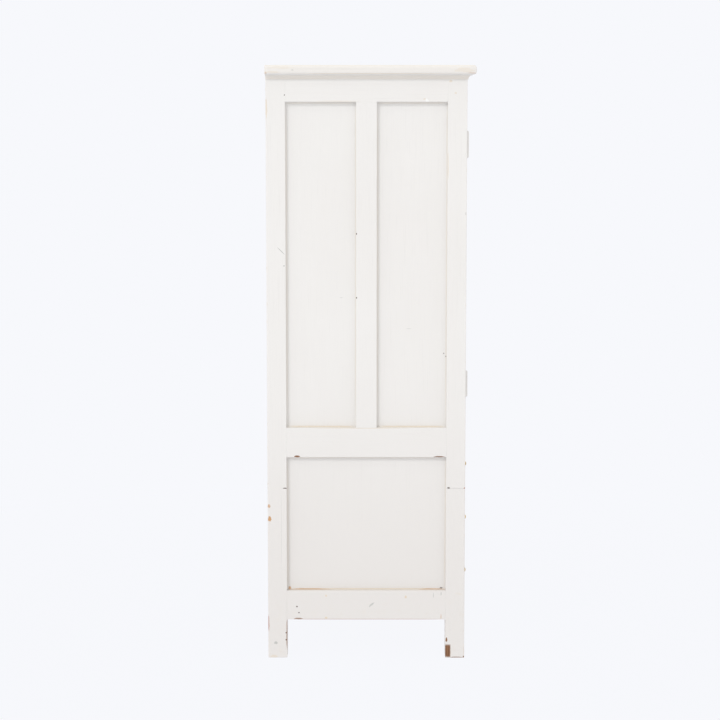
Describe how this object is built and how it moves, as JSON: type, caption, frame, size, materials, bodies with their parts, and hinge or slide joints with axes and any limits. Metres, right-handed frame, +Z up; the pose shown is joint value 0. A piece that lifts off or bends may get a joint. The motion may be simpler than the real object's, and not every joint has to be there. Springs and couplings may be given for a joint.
{
  "type": "apothecary cabinet",
  "caption": "Tall painted wooden cabinet on square legs, with panelled sides, a moulded top, glazed upper doors and small card-labelled drawers below.",
  "frame": {"origin": "under the middle of the whole object, on the floor", "axes": "+Z up, the front faces -Y, +X to the right seen from the front"},
  "size_m": [1.052, 0.628, 1.8],
  "materials": {
    "painted_wood": "worn off-white eggshell paint over reddish-brown wood",
    "bare_wood": "dry unpainted softwood",
    "drawer_wood": "bare pine box behind a painted front",
    "glass": "old clear window glass",
    "brass": "aged brass"
  },
  "bodies": {
    "carcass": {"left_front_post": "painted_wood", "left_back_post": "painted_wood", "left_bottom_rail": "painted_wood", "left_waist_rail": "painted_wood", "left_top_rail": "painted_wood", "left_muntin": "painted_wood", "left_upper_front_panel": "painted_wood", "left_upper_back_panel": "painted_wood", "left_lower_panel": "painted_wood", "right_front_post": "painted_wood", "right_back_post": "painted_wood", "right_bottom_rail": "painted_wood", "right_waist_rail": "painted_wood", "right_top_rail": "painted_wood", "right_muntin": "painted_wood", "right_upper_front_panel": "painted_wood", "right_upper_back_panel": "painted_wood", "right_lower_panel": "painted_wood", "left_front_leg_splice": "painted_wood", "front_rails": "painted_wood", "back_rails": "bare_wood", "back_boards": "bare_wood", "door_stops": "painted_wood", "top_board": "painted_wood", "cornice_moulding": "painted_wood", "bottom_board": "bare_wood", "waist_board": "bare_wood", "shelves": "bare_wood", "shelf_bearers": "bare_wood", "drawer_rails": "painted_wood", "drawer_partitions": "bare_wood", "drawer_runners": "bare_wood", "post_hinges": "brass"},
    "left_door": {"left_door_frame": "painted_wood", "left_door_glass": "glass", "left_door_hinge_leaves": "brass", "left_door_bolt_plate": "brass"},
    "left_bolt": {"left_door_bolt": "brass"},
    "right_door": {"right_door_frame": "painted_wood", "right_door_glass": "glass", "right_door_hinge_leaves": "brass"},
    "turn_latch": {"right_door_turn_latch": "brass"},
    "drawer_1": {"drawer_1_box": "drawer_wood", "drawer_1_pull": "brass"},
    "drawer_2": {"drawer_2_box": "drawer_wood", "drawer_2_pull": "brass"},
    "drawer_3": {"drawer_3_box": "drawer_wood", "drawer_3_pull": "brass"},
    "drawer_4": {"drawer_4_box": "drawer_wood", "drawer_4_pull": "brass"},
    "drawer_5": {"drawer_5_box": "drawer_wood", "drawer_5_pull": "brass"},
    "drawer_6": {"drawer_6_box": "drawer_wood", "drawer_6_pull": "brass"},
    "drawer_7": {"drawer_7_box": "drawer_wood", "drawer_7_pull": "brass"},
    "drawer_8": {"drawer_8_box": "drawer_wood", "drawer_8_pull": "brass"},
    "drawer_9": {"drawer_9_box": "drawer_wood", "drawer_9_pull": "brass"}
  },
  "joints": [
    {"name": "left_door_hinge", "type": "hinge", "parent": "carcass", "child": "left_door", "pos_m": [-0.441, -0.2922, 1.2], "axis": [0, 0, -1], "range_deg": [0, 110]},
    {"name": "right_door_hinge", "type": "hinge", "parent": "carcass", "child": "right_door", "pos_m": [0.441, -0.2922, 1.2], "axis": [0, 0, 1], "range_deg": [0, 110]},
    {"name": "turn_latch_spindle", "type": "hinge", "parent": "right_door", "child": "turn_latch", "pos_m": [0.025, -0.288, 1.105], "axis": [0, 1, 0], "range_deg": [0, 90]},
    {"name": "left_bolt_slide", "type": "slide", "parent": "left_door", "child": "left_bolt", "axis": [0, 0, 1], "range_m": [0, 0.015]},
    {"name": "drawer_1_slide", "type": "slide", "parent": "carcass", "child": "drawer_1", "axis": [0, -1, 0], "range_m": [0, 0.43]},
    {"name": "drawer_2_slide", "type": "slide", "parent": "carcass", "child": "drawer_2", "axis": [0, -1, 0], "range_m": [0, 0.43]},
    {"name": "drawer_3_slide", "type": "slide", "parent": "carcass", "child": "drawer_3", "axis": [0, -1, 0], "range_m": [0, 0.43]},
    {"name": "drawer_4_slide", "type": "slide", "parent": "carcass", "child": "drawer_4", "axis": [0, -1, 0], "range_m": [0, 0.43]},
    {"name": "drawer_5_slide", "type": "slide", "parent": "carcass", "child": "drawer_5", "axis": [0, -1, 0], "range_m": [0, 0.43]},
    {"name": "drawer_6_slide", "type": "slide", "parent": "carcass", "child": "drawer_6", "axis": [0, -1, 0], "range_m": [0, 0.43]},
    {"name": "drawer_7_slide", "type": "slide", "parent": "carcass", "child": "drawer_7", "axis": [0, -1, 0], "range_m": [0, 0.43]},
    {"name": "drawer_8_slide", "type": "slide", "parent": "carcass", "child": "drawer_8", "axis": [0, -1, 0], "range_m": [0, 0.43]},
    {"name": "drawer_9_slide", "type": "slide", "parent": "carcass", "child": "drawer_9", "axis": [0, -1, 0], "range_m": [0, 0.43]}
  ]
}
